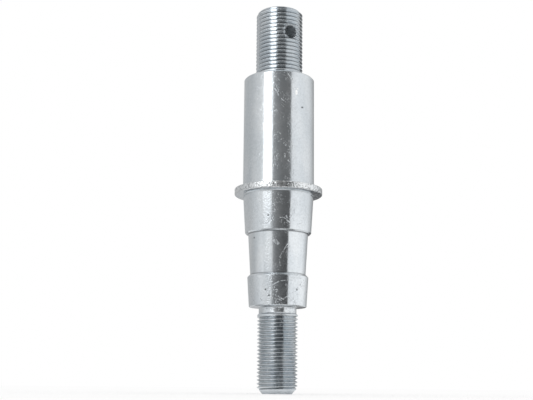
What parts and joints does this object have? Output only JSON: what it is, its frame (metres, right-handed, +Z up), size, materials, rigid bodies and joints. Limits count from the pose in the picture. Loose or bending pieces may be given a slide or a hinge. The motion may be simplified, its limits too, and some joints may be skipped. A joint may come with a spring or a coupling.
{
  "type": "lower link pin",
  "caption": "Turned steel pin with two threaded ends, a plain barrel, a thin collar, a stepped taper and a cross hole near one end.",
  "frame": {"origin": "centre of the lower end face, which the pin stands on", "axes": "+Z up the pin's axis, from the lower threaded end to the upper one; Y along the cross hole"},
  "size_m": [0.0444, 0.0444, 0.1962],
  "materials": {
    "zinc_steel": "bright zinc plating over turned steel"
  },
  "bodies": {
    "root": {"link_pin": "zinc_steel"}
  },
  "joints": []
}
